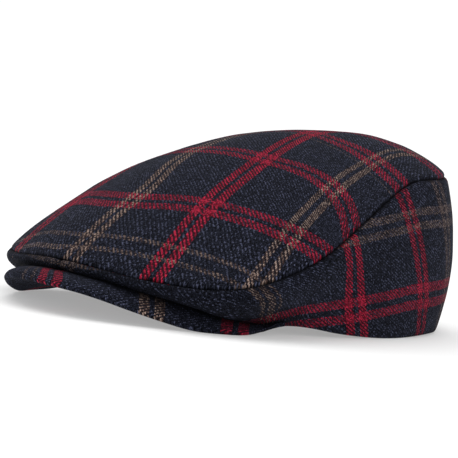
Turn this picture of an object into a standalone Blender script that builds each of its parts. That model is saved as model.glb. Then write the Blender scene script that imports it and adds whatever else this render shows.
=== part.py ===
import math

import bpy
import numpy as np

for old in list(bpy.data.objects):
    bpy.data.objects.remove(old, do_unlink=True)

# Flat cap lying as it rests on a table: the back of the rim and the two low
# places of the peak touch z = 0, the peak points to -Y, the wearer's left is +X.
# Directions round the head are angles in degrees from the front (0) to the back (180).
# Lengths are metres, and the tables hold shares of the named sizes.

# Named sizes
HEAD_HALF_WIDTH = 0.0843
HEAD_HALF_LENGTH = 0.1039
CROWN_HEIGHT = 0.0975
CLOTH = 0.0020
GAP = 0.0003
PEAK_HALF = 0.0024
PEAK_CORNER_HALF = 0.0013
PEAK_SPAN = 55.0
PEAK_BEND = 3.0
PEAK_TUCK = 0.0014
PEAK_CORNER_TUCK = 0.0007
MITRE_REACH = 0.006
APEX_BACK = 0.0546
FRAME_FORWARD = 0.0200

# One row per direction. seam_out is the seam's distance from the middle as a share of
# HEAD_HALF_LENGTH; full is how round the top panel is towards that direction; the other
# columns are shares of CROWN_HEIGHT: the heights of the seam and the rim, then how far
# the side cloth swings out and down, below the seam (upper) and above the rim (lower).
CROWN_COLUMNS = ("turn", "seam_out", "seam_up", "rim_up", "full",
                 "upper_out", "upper_down", "lower_out", "lower_down")
CROWN_ROWS = (
    (0, 1.220, 0.250, 0.195, 0.78, 0.050, 0.072, 0.165, 0.011),
    (25, 1.218, 0.216, 0.150, 0.78, 0.045, 0.068, 0.150, 0.022),
    (45, 1.211, 0.235, 0.088, 0.76, 0.043, 0.130, 0.155, 0.012),
    (60, 1.102, 0.379, 0.056, 0.77, 0.048, 0.135, 0.115, -0.070),
    (75, 0.956, 0.574, 0.031, 0.78, 0.056, 0.185, 0.092, -0.175),
    (95, 0.858, 0.768, 0.016, 0.81, 0.070, 0.240, 0.080, -0.240),
    (120, 0.868, 0.815, 0.018, 0.86, 0.092, 0.272, 0.073, -0.272),
    (150, 0.858, 0.832, 0.000, 0.91, 0.092, 0.277, 0.062, -0.277),
    (180, 0.848, 0.800, 0.000, 0.93, 0.082, 0.267, 0.050, -0.267),
)

# One row per share of PEAK_SPAN. reach is the edge's distance from the middle as a share
# of HEAD_HALF_LENGTH, low is the height of its underside as a share of CROWN_HEIGHT.
PEAK_COLUMNS = ("share", "reach", "low")
PEAK_ROWS = (
    (0.00, 1.349, 0.130),
    (0.13, 1.336, 0.124),
    (0.26, 1.299, 0.103),
    (0.39, 1.248, 0.065),
    (0.52, 1.193, 0.026),
    (0.65, 1.140, 0.000),
    (0.80, 1.072, 0.000),
    (1.00, 0.905, 0.032),
)


def column(columns, rows, name):
    """Return the places and the values of one named column."""
    pick = columns.index(name)
    return np.array([row[0] for row in rows], float), np.array([row[pick] for row in rows], float)


def smooth(places, values, at):
    """Run a curve through the rows, level at both ends and flat between equal values."""
    step = np.diff(places)
    rise = np.diff(values) / step
    slope = np.zeros(len(places))
    for i in range(1, len(places) - 1):
        if rise[i - 1] != 0 and rise[i] != 0:
            slope[i] = (rise[i - 1] * step[i] + rise[i] * step[i - 1]) / (step[i] + step[i - 1])
    at = np.clip(np.asarray(at, float), places[0], places[-1])
    i = np.clip(np.searchsorted(places, at, side="right") - 1, 0, len(step) - 1)
    s = (at - places[i]) / step[i]
    return ((1 + 2 * s) * (1 - s) ** 2 * values[i] + s * (1 - s) ** 2 * step[i] * slope[i]
            + s * s * (3 - 2 * s) * values[i + 1] - s * s * (1 - s) * step[i] * slope[i + 1])


def crown(name, turn):
    """Read a crown column in the given directions, the same on both sides of the cap."""
    places, values = column(CROWN_COLUMNS, CROWN_ROWS, name)
    return smooth(places, values, np.abs((np.asarray(turn, float) + 180) % 360 - 180))


def peak(name, share):
    """Read a peak column at shares of the span."""
    places, values = column(PEAK_COLUMNS, PEAK_ROWS, name)
    return smooth(places, values, np.abs(share))


def outward(turn):
    """Return level unit vectors that point away from the middle."""
    angle = np.radians(turn)
    return np.stack([np.sin(angle), -np.cos(angle), 0 * angle], -1)


def seam_points(turn):
    points = outward(turn) * (crown("seam_out", turn) * HEAD_HALF_LENGTH)[..., None]
    points[..., 2] = crown("seam_up", turn) * CROWN_HEIGHT
    return points


def rim_points(turn):
    points = outward(turn) * np.array([HEAD_HALF_WIDTH, HEAD_HALF_LENGTH, 1.0])
    points[..., 2] = crown("rim_up", turn) * CROWN_HEIGHT
    return points


def side_surface(turn, down):
    """Return the side cloth's outer face, from the seam (down = 0) to the rim (down = 1)."""
    turn, down = np.meshgrid(turn, down, indexing="ij")
    start = seam_points(turn)
    end = rim_points(turn)
    out = outward(turn)
    size = CROWN_HEIGHT
    upper = start + out * (crown("upper_out", turn) * size)[..., None]
    upper[..., 2] -= crown("upper_down", turn) * size
    lower = end + out * (crown("lower_out", turn) * size)[..., None]
    lower[..., 2] -= crown("lower_down", turn) * size
    s = down[..., None]
    return (start * (1 - s) ** 3 + upper * 3 * s * (1 - s) ** 2
            + lower * 3 * s * s * (1 - s) + end * s ** 3)


def top_surface(turn, share):
    """Return the top cloth's outer face, from the apex (share = 0) to the seam (share = 1)."""
    turn, share = np.meshgrid(turn, share, indexing="ij")
    apex = np.array([0.0, APEX_BACK, CROWN_HEIGHT])
    edge = seam_points(turn)
    full = crown("full", turn)
    fall = (1 - np.sqrt(1 - (full * share) ** 2)) / (1 - np.sqrt(1 - full ** 2))
    points = apex + (edge - apex) * share[..., None]
    points[..., 2] = apex[2] + (edge[..., 2] - apex[2]) * fall
    return points


def slope_vectors(surface, turn, place, nudge_turn=0.05, nudge_place=0.002):
    """Return the outward unit normals of a surface by small steps on both sides."""
    along = surface(turn + nudge_turn, place) - surface(turn - nudge_turn, place)
    low = np.clip(place - nudge_place, 0.0005, 1)
    high = np.clip(place + nudge_place, 0.0005, 1)
    across = surface(turn, high) - surface(turn, low)
    normal = np.cross(across, along)
    return normal / np.linalg.norm(normal, axis=-1, keepdims=True)


def seam_inset(turn):
    """Return the vectors from the seam to the inside corner where both cloths meet."""
    top = slope_vectors(top_surface, turn, np.array([1.0]))[:, 0]
    side = slope_vectors(side_surface, turn, np.array([0.0]))[:, 0]
    middle = -(top + side)
    middle /= np.linalg.norm(middle, axis=-1, keepdims=True)
    return middle * (CLOTH / np.maximum(0.7, -np.sum(middle * top, -1)))[:, None]


def blend(value, low, high):
    s = np.clip((value - low) / (high - low), 0, 1)
    return s * s * (3 - 2 * s)


def add_piece(name, points, faces, colour):
    """Make one closed object with its own plain cloth material."""
    mesh = bpy.data.meshes.new(name)
    moved = [(x, y + FRAME_FORWARD, z) for x, y, z in points]
    mesh.from_pydata(moved, [], faces)
    mesh.validate()
    piece = bpy.data.objects.new(name, mesh)
    bpy.context.scene.collection.objects.link(piece)
    material = bpy.data.materials.new(name + "_cloth")
    material.use_nodes = True
    shader = material.node_tree.nodes["Principled BSDF"]
    shader.inputs["Base Color"].default_value = (*colour, 1.0)
    shader.inputs["Roughness"].default_value = 0.9
    mesh.materials.append(material)
    return piece


def sheet_solid(outer, inner):
    """Return points and faces of a closed sheet between two open grids of the same size."""
    rows, cols = outer.shape[:2]
    points = np.concatenate([outer.reshape(-1, 3), inner.reshape(-1, 3)])
    half = rows * cols

    def at(i, j, level):
        return level * half + i * cols + j

    faces = []
    for i in range(rows - 1):
        for j in range(cols - 1):
            faces.append((at(i, j, 0), at(i, j + 1, 0), at(i + 1, j + 1, 0), at(i + 1, j, 0)))
            faces.append((at(i, j, 1), at(i + 1, j, 1), at(i + 1, j + 1, 1), at(i, j + 1, 1)))
    for i in range(rows - 1):
        faces.append((at(i, 0, 0), at(i + 1, 0, 0), at(i + 1, 0, 1), at(i, 0, 1)))
        faces.append((at(i + 1, cols - 1, 0), at(i, cols - 1, 0),
                      at(i, cols - 1, 1), at(i + 1, cols - 1, 1)))
    for j in range(cols - 1):
        faces.append((at(0, j + 1, 0), at(0, j, 0), at(0, j, 1), at(0, j + 1, 1)))
        faces.append((at(rows - 1, j, 0), at(rows - 1, j + 1, 0),
                      at(rows - 1, j + 1, 1), at(rows - 1, j, 1)))
    return [tuple(p) for p in points], faces


# Top panel: a domed sheet in one piece that falls forwards to the front of the cap.
def make_top_panel():
    turns = np.linspace(-180, 180, 85)[:-1]
    edge = top_surface(turns, np.array([0.0, 1.0]))
    run = np.linalg.norm(edge[:, 1] - edge[:, 0], axis=-1)
    shares = np.array([0.10, 0.20, 0.32, 0.44, 0.56, 0.68, 0.79, 0.88, 0.95, 1.0])
    outer = top_surface(turns, shares)
    step = outer[:, -2] - outer[:, -1]
    outer[:, -1] += step / np.linalg.norm(step, axis=-1, keepdims=True) * (GAP * 0.6)
    normals = slope_vectors(top_surface, turns, shares)
    near = blend((1 - shares)[None, :] * run[:, None], MITRE_REACH, 0)[..., None]
    inset = seam_inset(turns)[:, None]
    inner = outer - normals * CLOTH * (1 - near) + inset * near
    apex = np.array([0.0, APEX_BACK, CROWN_HEIGHT])
    rows, cols = outer.shape[:2]
    half = rows * cols
    points = np.concatenate([outer.reshape(-1, 3), inner.reshape(-1, 3), [apex],
                             [apex - (0, 0, CLOTH)]])
    faces = []
    for i in range(rows):
        k = (i + 1) % rows
        faces.append((2 * half, i * cols, k * cols))
        faces.append((2 * half + 1, half + k * cols, half + i * cols))
        for j in range(cols - 1):
            faces.append((i * cols + j, i * cols + j + 1, k * cols + j + 1, k * cols + j))
            faces.append((half + i * cols + j, half + k * cols + j,
                          half + k * cols + j + 1, half + i * cols + j + 1))
        last = cols - 1
        faces.append((i * cols + last, half + i * cols + last,
                      half + k * cols + last, k * cols + last))
    add_piece("top_panel", [tuple(p) for p in points], faces, (0.030, 0.035, 0.055))


# Side panels: each runs from the centre front round to the centre back. At the front it
# is only a narrow band that rolls under and returns to the opening above the peak.
def make_side_panel(name, sign):
    turns = np.linspace(0, 180, 43)
    downs = np.array([0, 0.06, 0.14, 0.23, 0.32, 0.41, 0.50, 0.59, 0.68, 0.78, 0.89, 1.0])
    outer = side_surface(turns, downs)
    step = outer[:, 1] - outer[:, 0]
    outer[:, 0] += step / np.linalg.norm(step, axis=-1, keepdims=True) * (GAP * 0.6)
    normals = slope_vectors(side_surface, turns, downs)
    run = np.linalg.norm(np.diff(outer, axis=1), axis=-1).cumsum(axis=1)
    run = np.concatenate([run[:, :1] * 0, run], axis=1)
    near = blend(run, MITRE_REACH, 0)[..., None]
    inset = seam_inset(turns)[:, None]
    inner = outer - normals * CLOTH * (1 - near) + inset * near
    # the rim's underside is level where the cap stands on it
    level = blend(turns, 70, 100)[:, None]
    side = rim_points(turns + 0.5) - rim_points(turns - 0.5)
    across = np.stack([-side[:, 1], side[:, 0], 0 * turns], -1)
    across /= np.linalg.norm(across, axis=-1, keepdims=True)
    inner[:, -1] = inner[:, -1] * (1 - level) + (outer[:, -1] + across * CLOTH) * level
    for grid in (outer, inner):
        grid[0, :, 0] = GAP / 2
        grid[-1, :, 0] = GAP / 2
        grid[..., 0] *= sign
    if sign < 0:
        outer = outer[::-1]
        inner = inner[::-1]
    points, faces = sheet_solid(outer, inner)
    add_piece(name, points, faces, (0.028, 0.033, 0.050))


# Peak covers: two cloth covers with one outline, the upper above the lower, that bend down
# at the sides and are thinner at the corners, where they are sewn under the crown.
def make_peak_cover(name, up, colour):
    shares = np.linspace(-1, 1, 43)
    turns = shares * PEAK_SPAN
    half = PEAK_HALF + (PEAK_CORNER_HALF - PEAK_HALF) * blend(np.abs(shares), 0.62, 1.0)
    inner_edge = rim_points(turns)
    inner_edge[:, 2] -= half + PEAK_TUCK + (PEAK_CORNER_TUCK - PEAK_TUCK) * blend(np.abs(shares), 0.6, 0.9)
    outer_edge = outward(turns) * (peak("reach", shares) * HEAD_HALF_LENGTH - half * 0.2)[:, None]
    outer_edge[:, 2] = peak("low", shares) * CROWN_HEIGHT + half
    cross = np.array([0, 0.14, 0.28, 0.42, 0.56, 0.70, 0.82, 0.92, 1.0])
    middle = inner_edge[:, None] + (outer_edge - inner_edge)[:, None] * cross[None, :, None]
    fall = (outer_edge - inner_edge)[:, 2:3]
    middle[..., 2] = inner_edge[:, 2:3] + fall * cross[None, :] ** PEAK_BEND
    lift = np.zeros_like(middle)
    lift[..., 2] = half[:, None]
    away = outer_edge - inner_edge
    away[:, 2] = 0
    away /= np.linalg.norm(away, axis=-1, keepdims=True)
    face = [middle[:, j] + lift[:, j] * up for j in range(len(cross))]
    back = [middle[:, j] + np.array([0, 0, GAP / 2]) * up for j in range(len(cross))]
    for angle in (62, 38, 14):
        angle = math.radians(angle)
        ring = outer_edge + away * (half * math.cos(angle))[:, None]
        ring[:, 2] += half * math.sin(angle) * up
        face.append(ring)
        low = outer_edge + away * (half * math.cos(angle) * 0.55)[:, None]
        low[:, 2] += GAP / 2 * up
        back.append(low)
    face = np.stack(face, 1)
    back = np.stack(back, 1)
    if up < 0:
        face = face[::-1]
        back = back[::-1]
    points, faces = sheet_solid(face, back)
    add_piece(name, points, faces, colour)


make_top_panel()
make_side_panel("side_panel_left", 1)
make_side_panel("side_panel_right", -1)
make_peak_cover("peak_upper_cover", 1, (0.028, 0.033, 0.050))
make_peak_cover("peak_under_cover", -1, (0.022, 0.026, 0.040))
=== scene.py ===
import math

import bpy
from mathutils import Matrix, Vector, noise
from mathutils.bvhtree import BVHTree


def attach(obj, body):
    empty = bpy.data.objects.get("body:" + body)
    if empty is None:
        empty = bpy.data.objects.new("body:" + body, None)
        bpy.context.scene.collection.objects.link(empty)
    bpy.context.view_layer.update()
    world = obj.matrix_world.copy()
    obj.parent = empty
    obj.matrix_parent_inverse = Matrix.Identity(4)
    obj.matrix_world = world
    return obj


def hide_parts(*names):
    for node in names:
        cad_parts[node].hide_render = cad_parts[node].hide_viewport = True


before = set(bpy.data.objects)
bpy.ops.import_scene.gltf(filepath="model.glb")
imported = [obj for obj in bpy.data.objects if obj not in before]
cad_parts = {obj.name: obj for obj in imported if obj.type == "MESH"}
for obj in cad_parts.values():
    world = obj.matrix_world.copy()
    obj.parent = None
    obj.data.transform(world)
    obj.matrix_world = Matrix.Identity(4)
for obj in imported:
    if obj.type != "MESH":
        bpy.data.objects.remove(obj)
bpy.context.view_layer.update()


# Crown top: one large panel of soft wool cloth that is cut in one piece, domed over the
# head and drawn down to the front of the cap. It is sewn to the side panels all round
# its edge, with the allowance turned in, so the edge rolls into a narrow groove.
MIDDLE = Vector((0.0, 0.020, 0.0))
HEART = Vector((0.0, 0.005, 0.035))
SEAM_REACH = 0.0030
SEAM_DEPTH = 0.0013
SEAM_PULL = 0.0004
JOINT_PRESS = 1.8
# painted shade in the seam's groove: how far from the seam it reaches, and over how much of that it
# fades out
SEAM_PAINTED_SHADE = (0.0015, 0.0010)
# painted shade in a crease where cloth lies close on another piece, at its strongest
CREASE_PAINTED_SHADE = 0.8

# Cloth: a two and two twill. A stripe is two bands of coloured yarns with a gap between,
# given as the distance from its middle to a band's, half a band's width, and its strength.
YARN = 0.00056
BANDS = {
    "bright": (0.0034, 0.0024, 1.0),
    "plain": (0.0034, 0.0023, 0.75),
    "wide": (0.0040, 0.0025, 0.75),
    "open": (0.0042, 0.0026, 1.0),
    "broad": (0.0042, 0.0027, 0.8),
    "slim": (0.0032, 0.0018, 0.9),
    "faint": (0.0034, 0.0021, 0.5),
    "fine": (0.0034, 0.0012, 0.5),
    "line": (0.0, 0.0010, 0.6),
    "trace": (0.0, 0.0009, 0.3),
}


class Wire:
    """One output socket of a material. Sums on wires add Math nodes to its tree."""

    def __init__(self, socket):
        self.socket = socket

    def node(self, kind, settings=None, sockets=None, out=0):
        """Add a node of one type, with its settings first and then its sockets."""
        tree = self.socket.id_data
        made = tree.nodes.new(kind)
        for name, value in (settings or {}).items():
            if name == "stops":
                while len(made.color_ramp.elements) < len(value):
                    made.color_ramp.elements.new(1.0)
                for stop, (place, colour) in zip(made.color_ramp.elements, value):
                    stop.position = place
                    stop.color = colour
            else:
                setattr(made, name, value)
        for name, value in (sockets or {}).items():
            if isinstance(value, Wire):
                tree.links.new(value.socket, made.inputs[name])
            else:
                made.inputs[name].default_value = value
        return Wire(made.outputs[out])

    def math(self, operation, *values):
        return self.node("ShaderNodeMath", {"operation": operation}, dict(enumerate(values)))

    def __add__(self, other):
        return self.math("ADD", self, other)

    __radd__ = __add__

    def __sub__(self, other):
        return self.math("SUBTRACT", self, other)

    def __rsub__(self, other):
        return self.math("SUBTRACT", other, self)

    def __mul__(self, other):
        return self.math("MULTIPLY", self, other)

    __rmul__ = __mul__

    def __truediv__(self, other):
        return self.math("DIVIDE", self, other)

    def mix(self, other, share):
        """Run from this colour to the other one as the share goes from 0 to 1."""
        return self.node("ShaderNodeMix", {"data_type": "RGBA"}, {0: share, 6: self, 7: other}, 2)

    def scale(self, share):
        """Make this colour darker or lighter by a share."""
        return self.node("ShaderNodeVectorMath", {"operation": "SCALE"}, {0: self, "Scale": share})

    def ramp(self, stops):
        """Turn this value into a colour that runs through stops of (place, colour)."""
        return self.node("ShaderNodeValToRGB", {"stops": stops}, {0: self})

    def cloth_noise(self, scale, detail, roughness=0.5):
        """Return soft noise over the flat cloth, whose place is this wire."""
        return self.node("ShaderNodeTexNoise", {"noise_dimensions": "2D"},
                         {"Vector": self, "Scale": scale, "Detail": detail, "Roughness": roughness})


def shade(red, green, blue):
    """Turn a colour as seen on a screen (0 to 255) into the shader's own numbers."""
    return (*(((c / 255 + 0.055) / 1.055) ** 2.4 if c > 10 else c / 255 / 12.92
              for c in (red, green, blue)), 1.0)


def finish(shader, values):
    """Set a shader's constant sockets."""
    for name, value in values.items():
        shader.inputs[name].default_value = value


def check_cloth(name, lengthwise, crosswise):
    """Make the checked twill. Each list holds (place, kind) of its stripes in metres."""
    material = bpy.data.materials.new(name)
    material.use_nodes = True
    tree = material.node_tree
    shader = tree.nodes["Principled BSDF"]
    finish(shader, {"Roughness": 0.92, "Specular IOR Level": 0.05, "Sheen Weight": 0.02,
                    "Sheen Roughness": 0.45, "Sheen Tint": shade(150, 155, 185)})
    place = Wire(shader.outputs[0]).node("ShaderNodeUVMap", {"uv_map": "cloth"})
    across = place.node("ShaderNodeSeparateXYZ", {}, {0: place})
    along = Wire(across.socket.node.outputs[1])

    # yarns of both directions, and which of the two lies on top in a two and two twill
    warp_count = across / YARN
    weft_count = along / YARN
    warp = warp_count.math("FLOOR", warp_count)
    weft = weft_count.math("FLOOR", weft_count)
    turn = warp.math("FLOORED_MODULO", warp + weft, 4.0)
    warp_on_top = turn.math("LESS_THAN", turn, 1.5)

    def stripes(yarn, rows, wanted):
        """Add up the stripes of one colour among the yarns of one direction."""
        total = None
        for centre, kind in rows:
            if not kind.startswith(wanted):
                continue
            offset, half, strength = BANDS[kind.split()[1]]
            away = yarn.math("ABSOLUTE", yarn * YARN + (YARN / 2 - centre))
            band = away.math("COMPARE", away, offset, half) * strength
            total = band if total is None else total + band
        return total if total is not None else yarn * 0.0

    def pick(first, second):
        """Take the warp's value where the warp lies on top, and the weft's elsewhere."""
        return first * warp_on_top + second * (1 - warp_on_top)

    red_warp = stripes(warp, lengthwise, "red")
    red_weft = stripes(weft, crosswise, "red")
    tan_warp = stripes(warp, lengthwise, "tan")
    tan_weft = stripes(weft, crosswise, "tan")
    red_near = red_warp.math("MAXIMUM", red_warp, red_weft)
    tan_near = tan_warp.math("MAXIMUM", tan_warp, tan_weft)

    # flecks of lighter hair, and every yarn a little different from the next
    cell = place.node("ShaderNodeCombineXYZ", {}, {0: warp, 1: weft})
    fleck = cell.node("ShaderNodeTexWhiteNoise", {"noise_dimensions": "2D"}, {"Vector": cell})
    fuzz = place.cloth_noise(1900.0, 2.0, 0.7)
    cloud = place.cloth_noise(60.0, 2.0)
    hair = place.cloth_noise(2600.0, 1.0)
    hair = hair.node("ShaderNodeMapRange", {}, {0: hair, 1: 0.58, 2: 0.75, 3: 0.0, 4: 1.0})
    grain = fleck * 0.7 + fuzz * 0.3
    weave = grain * 0.8 + warp_on_top * 0.2
    ground = weave.ramp([(0.15, shade(2, 2, 4)), (0.45, shade(11, 12, 19)),
                         (0.7, shade(29, 31, 42)), (0.92, shade(84, 88, 112))])
    red_yarn = grain.ramp([(0.15, shade(58, 3, 12)), (0.5, shade(126, 12, 36)),
                           (0.9, shade(206, 44, 74))])
    tan_yarn = grain.ramp([(0.15, shade(30, 21, 20)), (0.5, shade(80, 62, 56)),
                           (0.9, shade(178, 154, 140))])
    colour = ground.mix(shade(42, 10, 18), red_near * 0.75)
    colour = colour.mix(shade(30, 24, 22), tan_near * 0.55)
    colour = colour.mix(red_yarn, pick(red_warp, red_weft))
    colour = colour.mix(tan_yarn, pick(tan_warp, tan_weft))

    # each float is round, so painted shade darkens it towards its sides and ends
    warp_part = warp_count.math("FRACT", warp_count)
    weft_part = weft_count.math("FRACT", weft_count)
    warp_round = warp_part.math("SINE", warp_part * math.pi)
    weft_round = weft_part.math("SINE", weft_part * math.pi)
    height = pick(warp_round, weft_round) + fuzz * 0.6
    colour = colour.scale((0.18 + height * 0.8) * (0.75 + cloud * 0.5))
    colour = colour.mix(shade(82, 88, 110), hair * 0.4)

    # painted shade: the bottom of a seam or a crease, the hem line and the strip under the top are
    # darkened, as little light reaches them
    fold = place.node("ShaderNodeAttribute", {"attribute_name": "fold"}, {}, 2)
    colour = colour.scale(1 - fold * 0.9)
    bump = height.node("ShaderNodeBump", {},
                       {"Height": height, "Strength": 0.6, "Distance": 0.0003})
    tree.links.new(colour.socket, shader.inputs["Base Color"])
    tree.links.new(bump.socket, shader.inputs["Normal"])
    return material


def clamp(share):
    """Keep a share between 0 and 1."""
    return min(1.0, max(0.0, share))


# Worn cloth is never quite even: slow waves, quick ripples, and none close to the rim.
# Each is how many waves lie on a metre, how high they are, and where they start.
SLOW_WAVES = (24.0, 0.0008, Vector((3.1, 0.4, 7.7)))
QUICK_WAVES = (70.0, 0.00025, Vector((1.7, 5.2, 0.3)))
RIM_HEIGHT = 0.004
FREE_HEIGHT = 0.020
noise.seed_set(12)


def sway(point):
    """Return the soft unevenness of the worn cloth at a place, the same for all pieces."""
    total = Vector((0.0, 0.0, 0.0))
    for count, height, start in (SLOW_WAVES, QUICK_WAVES):
        total += noise.noise_vector(point * count + start) * height
    return total * clamp((point.z - RIM_HEIGHT) / (FREE_HEIGHT - RIM_HEIGHT))


def copy_of(node, name):
    """Copy a solid's loose triangles and merge them into one mesh of four-sided faces."""
    bpy.ops.object.select_all(action="DESELECT")
    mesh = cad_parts[node].data.copy()
    mesh.name = name
    mesh.materials.clear()
    piece = bpy.data.objects.new(name, mesh)
    bpy.context.scene.collection.objects.link(piece)
    bpy.context.view_layer.objects.active = piece
    piece.select_set(True)
    bpy.ops.object.mode_set(mode="EDIT")
    bpy.ops.mesh.select_all(action="SELECT")
    bpy.ops.mesh.remove_doubles(threshold=0.00001)
    bpy.ops.mesh.customdata_custom_splitnormals_clear()
    bpy.ops.mesh.tris_convert_to_quads(face_threshold=math.radians(35),
                                       shape_threshold=math.radians(60))
    bpy.ops.object.mode_set(mode="OBJECT")
    return piece


def soften(piece):
    """Give the active piece a fine soft mesh with the cloth's own unevenness."""
    soft = piece.modifiers.new("soft", "SUBSURF")
    soft.levels = 2
    soft.render_levels = 2
    bpy.ops.object.modifier_apply(modifier="soft")
    for vertex in piece.data.vertices:
        vertex.co += sway(vertex.co)
    bpy.ops.object.shade_smooth()


panel_shapes = {}
for node in ("top_panel", "side_panel_left", "side_panel_right", "peak_upper_cover"):
    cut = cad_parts[node].data
    panel_shapes[node] = BVHTree.FromPolygons([vertex.co for vertex in cut.vertices],
                                              [face.vertices for face in cut.polygons])


def nearest(spot, nodes):
    """Find the nearest point to a spot on the outlines of some pieces."""
    return min((panel_shapes[node].find_nearest(spot)[0] for node in nodes),
               key=lambda point: (point - spot).length)


def tuck(piece, sewn, joined, resting, reach=0.005):
    """Draw the cloth in along its seams, and note how much painted shade each point gets in a seam's
    groove or a crease.

    It is sewn over some pieces, joined edge to edge with others, and rests on others.
    """
    shade_from, shade_fade = SEAM_PAINTED_SHADE
    painted_shades = []
    for vertex in piece.data.vertices:
        spot = vertex.co.copy()
        fold = 0.0
        if resting:
            fold = CREASE_PAINTED_SHADE * max(0.0, 1 - (nearest(spot, resting) - spot).length / reach)
        for nodes in (sewn, joined):
            if not nodes:
                continue
            step = nearest(spot, nodes) - spot
            share = max(0.0, 1 - step.length / SEAM_REACH)
            inwards = (HEART - spot).normalized()
            inwards.z *= clamp((spot.z - RIM_HEIGHT) / (2 * RIM_HEIGHT))
            pull = step * JOINT_PRESS if nodes is joined else step.normalized() * SEAM_PULL
            vertex.co += (inwards * SEAM_DEPTH + pull) * share ** 2
            fold = max(fold, clamp((shade_from - step.length) / shade_fade))
        painted_shades.append(fold)
    piece.data.attributes.new("fold", "FLOAT", "POINT").data.foreach_set("value", painted_shades)


def lay_cloth(piece, field):
    """Write where each point lies on the flat cloth, in metres, as the piece's UV map."""
    mesh = piece.data
    while mesh.uv_layers:
        mesh.uv_layers.remove(mesh.uv_layers[0])
    cloth = mesh.uv_layers.new(name="cloth")
    places = [field(vertex.co - MIDDLE) for vertex in mesh.vertices]
    for corner in mesh.loops:
        cloth.data[corner.index].uv = places[corner.vertex_index]


def curve(rows, at):
    """Read a smooth curve through rows of (place, value), straight on past its ends."""
    slopes = [(b[1] - a[1]) / (b[0] - a[0]) for a, b in zip(rows, rows[1:])]
    if at <= rows[0][0]:
        return rows[0][1] + (at - rows[0][0]) * slopes[0]
    if at >= rows[-1][0]:
        return rows[-1][1] + (at - rows[-1][0]) * slopes[-1]
    i = max(k for k, row in enumerate(rows) if row[0] <= at)
    before = (slopes[max(0, i - 1)] + slopes[i]) / 2
    after = (slopes[i] + slopes[min(len(slopes) - 1, i + 1)]) / 2
    step = rows[i + 1][0] - rows[i][0]
    s = (at - rows[i][0]) / step
    return ((1 + 2 * s) * (1 - s) ** 2 * rows[i][1] + s * (1 - s) ** 2 * step * before
            + s * s * (3 - 2 * s) * rows[i + 1][1] - s * s * (1 - s) * step * after)


# Lengthwise lines give x for y, cross lines y for x.
STRIPE_HALF = 0.7
TOP_LENGTHWISE = [
    (-5.0, ((-13, -5.6), (-10, -5.1), (-7, -4.9), (-4, -5.6), (-1, -6.2), (3, -6.8), (8, -7.3))),
    (0.5, ((-13, 0.6), (-10, 0.4), (-8, 0.2), (-6, -0.75), (-4, -1.6), (-1, -2.7),
           (3, -3.8), (8, -4.6))),
    (5.0, ((-13, 5.4), (-10, 4.85), (-7, 4.05), (-4, 3.2), (-1, 2.05), (3, 0.6), (8, -0.3))),
    (9.5, ((-13, 10.4), (-10, 9.45), (-7, 8.55), (-4, 7.6), (-1, 6.7), (3, 5.85), (8, 4.8))),
]
TOP_CROSSWISE = [
    (-11.7, ((-7, -10.6), (-4, -11.3), (-1, -11.8), (1, -11.6), (3, -11.0), (5, -10.2),
             (7, -9.4), (10, -8.1))),
    (-9.0, ((-9, -7.2), (-4, -8.5), (-1, -9.1), (1, -8.9), (3, -8.15), (5, -7.35),
            (7, -6.5), (10, -5.1))),
    (-3.6, ((-9, -2.8), (-4, -3.2), (0, -3.6), (3, -3.1), (5, -2.55), (7, -2.45),
            (8.5, -2.85), (10, -3.7))),
    (1.8, ((-9, 0.6), (-4, 1.5), (0, 1.9), (3, 1.6), (5, 1.35), (7, 0.85), (10, 0.3))),
    (5.0, ((-9, 4.3), (-4, 4.6), (0, 4.9), (5, 4.5), (10, 4.5))),
]


def between(lines, at, value):
    """Find where a value lies on the flat cloth, when each line runs along its curve.

    The cloth gives only between the stripes, so a stripe keeps its width.
    """
    knots = []
    for flat, rows in lines:
        place = curve(rows, at)
        knots += [(place - STRIPE_HALF, flat - STRIPE_HALF), (place + STRIPE_HALF, flat + STRIPE_HALF)]
    if value <= knots[0][0]:
        return knots[0][1] + value - knots[0][0]
    for (low, flat_low), (high, flat_high) in zip(knots, knots[1:]):
        if value <= high:
            return flat_low + (flat_high - flat_low) * (value - low) / (high - low)
    return knots[-1][1] + value - knots[-1][0]


def top_field(p):
    x = p.x * 100
    y = p.y * 100
    return between(TOP_LENGTHWISE, y, x) / 100, between(TOP_CROSSWISE, x, y) / 100


top = copy_of("top_panel", "crown_top_cloth")
soften(top)
tuck(top, ["side_panel_left", "side_panel_right"], [], [])
lay_cloth(top, top_field)
top.data.materials.append(check_cloth(
    "checked_wool_top",
    [(-0.095, "tan plain"), (-0.050, "red bright"), (0.005, "tan bright"), (0.050, "red bright"),
     (0.095, "tan slim")],
    [(-0.117, "tan fine"), (-0.090, "red plain"), (-0.036, "red plain"), (0.008, "tan trace"),
     (0.018, "red plain"), (0.050, "red plain"), (0.082, "tan fine")]))
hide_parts("top_panel")
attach(top, "root")


# Side panels: two strips of the same cloth that run from the centre front round to the
# centre back. Each is sewn to the top along its upper edge and turned in at the rim.
# Turns are angles round the head in radians, from 0 at the front to pi at the back.
STRIP_TURN = math.radians(48)
STRIP_FADE = 0.2
# painted shade on the front strip that lies under the top's overhang
STRIP_PAINTED_SHADE = 0.35
BACK_FROM = 0.020
BACK_ROUND = 0.089
SIDE_LEAN = 0.60
SIDE_RISE = 0.17
BACK_RISE = 0.057
SIDE_CROSS = [(0.0174, "red wide"), (0.0562, "tan faint")]
SIDE_LINES = {
    "left": [(-0.171, "tan faint"), (-0.0715, "tan plain"), (-0.0625, "tan line"),
             (-0.0088, "red open"), (0.0447, "red plain"), (0.0790, "tan faint"),
             (0.110, "red plain"), (0.150, "tan faint")],
    "right": [(-0.124, "tan line"), (-0.080, "red plain"), (-0.035, "tan faint"),
              (0.010, "red bright"), (0.055, "tan faint"), (0.100, "red plain"),
              (0.145, "tan faint")],
}


def turn_of(p):
    """Return how far round the head a place lies, on either side."""
    return math.atan2(abs(p.x), -p.y)


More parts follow.
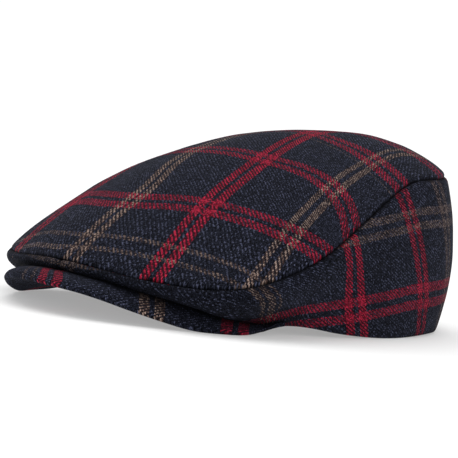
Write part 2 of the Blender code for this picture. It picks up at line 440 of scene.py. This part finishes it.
def side_field(p):
    turn = turn_of(p)
    rise = SIDE_RISE * p.y
    round_head = p.y
    if p.y > BACK_FROM:
        round_head = BACK_FROM + BACK_ROUND * math.atan2(p.y - BACK_FROM, abs(p.x))
        rise = SIDE_RISE * BACK_FROM + BACK_RISE * (round_head - BACK_FROM)
    lean = p.z * (SIDE_LEAN - min(0.05, max(0.0, round_head)))
    lean += 0.75 * (p.z - 0.022) * clamp((-0.045 - p.y) / 0.02)
    if turn < STRIP_TURN:
        round_head = -0.084 - 0.126 * (STRIP_TURN - turn)
        lean += clamp((STRIP_TURN - turn) / STRIP_FADE) * (0.012 - lean)
    return round_head + lean, p.z - rise + min(0.008, 0.020 * max(0.0, 1.03 - turn))


# The rim: it hangs lower behind the peak's corners, in millimetres by turn, rolls under
# at its edge, and has painted shade along the line of its hem. At the centre back its two ends meet.
RIM_DROP = [(0.0, 0.0), (0.58, 0.0), (0.70, 3.0), (0.84, 4.0), (0.94, 2.4), (1.05, 0.8),
            (1.15, 0.4), (1.3, 0.9), (2.1, 0.9), (2.4, 0.4), (2.6, 0.0), (3.2, 0.0)]
RIM_BAND = 0.014
RIM_ROLL = 0.0008
HEM_LINE = 0.0026
HEM_HALF = 0.0009
HEM_TURN = 1.75
HEM_PAINTED_SHADE = 0.6
END_HEIGHT = 0.0024
END_HALF = 0.0018
END_REACH = 0.006
# how far the painted crease shade reaches over a side panel from the peak
SIDE_SHADE_REACH = 0.014


def draw_rim(panel):
    """Shape the rim of a side panel, and paint shade along its hem line and on the strip under the
    top.
    """
    painted_shades = panel.data.attributes["fold"].data
    for vertex in panel.data.vertices:
        p = vertex.co - MIDDLE
        turn = turn_of(p)
        low = clamp((RIM_BAND - p.z) / (RIM_BAND / 2))
        vertex.co.z -= low * 0.001 * max(0.0, curve(RIM_DROP, turn))
        if p.z > RIM_ROLL:
            vertex.co.z -= RIM_ROLL * clamp((END_REACH - p.z) / 0.005)
        if vertex.co.z < END_REACH:
            gap = END_HEIGHT * max(0.0, 1 - abs(p.x) / END_HALF) * (p.y > 0.05)
            vertex.co.z = max(0.0, (vertex.co.z - gap) * END_REACH / (END_REACH - gap))
        # painted shade along the hem line at the back, and on the strip at the front under the top
        hem = max(0.0, 1 - abs(p.z - HEM_LINE) / HEM_HALF) * clamp((turn - HEM_TURN) / 0.25)
        under = STRIP_PAINTED_SHADE * clamp((0.95 - turn) / 0.15)
        fold = painted_shades[vertex.index]
        fold.value = max(fold.value, HEM_PAINTED_SHADE * hem, under)


for side, other in (("left", "right"), ("right", "left")):
    panel = copy_of("side_panel_" + side, "crown_side_cloth_" + side)
    soften(panel)
    tuck(panel, ["top_panel"], ["side_panel_" + other], ["peak_upper_cover"], SIDE_SHADE_REACH)
    draw_rim(panel)
    lay_cloth(panel, side_field)
    panel.data.materials.append(check_cloth("checked_wool_side_" + side, SIDE_LINES[side], SIDE_CROSS))
    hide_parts("side_panel_" + side)
    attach(panel, "root")


# Peak: a stiff short peak covered above and below with the same cloth, the two covers
# drawn together round its edge. It is sewn into the seam under the front of the crown.
# PEAK_RIM is its edge in metres by turn, and PEAK_SWELL its fullness in millimetres.
PEAK_RIM = [(0.0, 0.1415), (0.05, 0.1414), (0.35, 0.133), (0.52, 0.125), (0.70, 0.117),
            (0.84, 0.106), (0.94, 0.096)]
PEAK_SWELL = [(0.0, 1.3), (0.25, 1.5), (0.40, 1.8), (0.52, 1.5), (0.62, 0.3), (0.70, 0.0),
              (1.2, 0.0)]
PEAK_ROUND = 0.012
PEAK_FLAT = 0.0036
PEAK_THIN = 0.75
PEAK_WALL = 0.0008
CORNER_TURN = 0.62
CORNER_FADE = 0.16
TAIL_TURN = 0.85
TAIL_LIFT = 0.020
PEAK_ARC = 0.129
PEAK_LINES = [(-0.082, "red bright"), (-0.004, "tan fine"), (0.010, "red broad"),
              (0.0582, "tan bright"), (0.0965, "red broad")]


def inside_edge(p):
    """Return how far a place on the peak lies inside the peak's edge."""
    return curve(PEAK_RIM, turn_of(p)) - math.hypot(p.x, p.y)


def peak_field(p):
    turn = math.atan2(p.x, -p.y)
    slant = max(0.0, 1.0 - 1.25 * turn) * min(PEAK_ROUND, max(0.0, inside_edge(p) - 0.001))
    return PEAK_ARC * turn + slant, math.hypot(p.x, p.y) - p.z


peak_cloth = {}
for half in ("upper", "under"):
    peak_cloth[half] = check_cloth("checked_wool_peak_" + half, PEAK_LINES, [])

for half, facing in (("upper", 1), ("under", -1)):
    cover = copy_of("peak_" + half + "_cover", "peak_" + half + "_cloth")
    cover.data.materials.append(peak_cloth["upper"])
    cover.data.materials.append(peak_cloth["under"])
    bpy.ops.object.mode_set(mode="EDIT")
    bpy.ops.mesh.select_mode(type="FACE")
    bpy.ops.mesh.select_all(action="DESELECT")
    bpy.ops.object.mode_set(mode="OBJECT")
    for face in cover.data.polygons:
        face.select = face.normal.z * facing < -0.25
        face.material_index = 1 if face.normal.z < -0.88 else 0
    bpy.ops.object.mode_set(mode="EDIT")
    bpy.ops.mesh.delete(type="FACE")
    bpy.ops.object.mode_set(mode="OBJECT")
    for vertex in cover.data.vertices:
        p = vertex.co - MIDDLE
        turn = turn_of(p)
        if half == "upper":
            full = 1 - (1 - clamp(inside_edge(p) / PEAK_ROUND)) ** 2
            vertex.co.z += 0.001 * max(0.0, curve(PEAK_SWELL, turn)) * full - 0.001 * (1 - full)
        thin = PEAK_THIN * clamp((turn - CORNER_TURN) / CORNER_FADE)
        vertex.co.z -= thin * max(0.0, p.z - PEAK_FLAT)
        vertex.co.z += TAIL_LIFT * max(0.0, turn - TAIL_TURN)
    if half == "upper":
        skin = cover

# the two covers become one skin with a round edge, and part again on the underside
skin.select_set(True)
bpy.context.view_layer.objects.active = skin
bpy.ops.object.join()
bpy.ops.object.mode_set(mode="EDIT")
bpy.ops.mesh.select_all(action="DESELECT")
bpy.ops.mesh.select_mode(type="EDGE")
bpy.ops.mesh.select_non_manifold()
bpy.ops.mesh.bridge_edge_loops()
bpy.ops.object.mode_set(mode="OBJECT")
soften(skin)
bpy.ops.object.mode_set(mode="EDIT")
bpy.ops.mesh.separate(type="MATERIAL")
bpy.ops.object.mode_set(mode="OBJECT")
for cover in bpy.context.selected_objects:
    half = "upper" if cover.data.materials[0] == peak_cloth["upper"] else "under"
    cover.name = "peak_" + half + "_cloth"
    bpy.context.view_layer.objects.active = cover
    wall = cover.modifiers.new("wall", "SOLIDIFY")
    wall.thickness = PEAK_WALL
    wall.offset = -1.0
    bpy.ops.object.modifier_apply(modifier="wall")
    tuck(cover, [], [], ["side_panel_left", "side_panel_right"])
    lay_cloth(cover, peak_field)
    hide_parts("peak_" + half + "_cover")
    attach(cover, "root")
    "peak_" + half + "_cover"


# Floor: a very wide sheet of pale matt board that lies flat under the cap and curves up
# far away. It glows a little, so that it is as white as the open background.
FLOOR_WIDTH = 14.0
FLAT_REACH = 2.2
FLOOR_CURVE = 0.12
bpy.ops.object.select_all(action="DESELECT")
bpy.ops.mesh.primitive_grid_add(x_subdivisions=60, y_subdivisions=60, size=FLOOR_WIDTH)
floor = bpy.context.active_object
floor.name = "pale_floor"
for vertex in floor.data.vertices:
    away = max(0.0, math.hypot(vertex.co.x, vertex.co.y) - FLAT_REACH)
    vertex.co.z = FLOOR_CURVE * away * away
bpy.ops.object.shade_smooth()
paint = bpy.data.materials.new("pale_floor_paint")
paint.use_nodes = True
finish(paint.node_tree.nodes["Principled BSDF"],
       {"Base Color": (0.62, 0.62, 0.62, 1), "Emission Color": (1, 1, 1, 1),
        "Emission Strength": 0.34, "Roughness": 0.95, "Specular IOR Level": 0.0})
floor.data.materials.append(paint)


# Light: an even white room, and one very large soft lamp overhead, so that the cap has
# soft tones and only a faint shadow close to it.
world = bpy.data.worlds.new("studio")
bpy.context.scene.world = world
world.use_nodes = True
finish(world.node_tree.nodes["Background"], {"Color": (1, 1, 1, 1), "Strength": 0.62})

lamp = bpy.data.lights.new("soft_light", "SUN")
lamp.energy = 1.75
lamp.angle = math.radians(70)
holder = bpy.data.objects.new("soft_light", lamp)
bpy.context.scene.collection.objects.link(holder)
holder.rotation_euler = Vector((0.2, -0.02, -1.0)).to_track_quat("-Z", "Y").to_euler()


# Camera: almost level with the cap, in front of its left side, and rolled a little, so
# that the cap tilts up to the left. A long lens keeps its shape free of distortion.
CAMERA_PLACE = Vector((0.686, -0.628, 0.0914))
CAMERA_AIM = Vector((-0.0005, -0.0025, 0.0425))
CAMERA_ROLL = math.radians(6.11)
bpy.context.scene.view_settings.view_transform = "Standard"
camera_data = bpy.data.cameras.new("camera")
camera_data.lens = 145.5
camera_data.sensor_width = 36.0
camera_data.clip_start = 0.01
camera_data.clip_end = 60.0
camera = bpy.data.objects.new("camera", camera_data)
bpy.context.scene.collection.objects.link(camera)
camera.location = CAMERA_PLACE
aim = (CAMERA_AIM - CAMERA_PLACE).to_track_quat("-Z", "Y").to_matrix()
camera.rotation_euler = (aim @ Matrix.Rotation(CAMERA_ROLL, 3, "Z")).to_euler()
bpy.context.scene.camera = camera
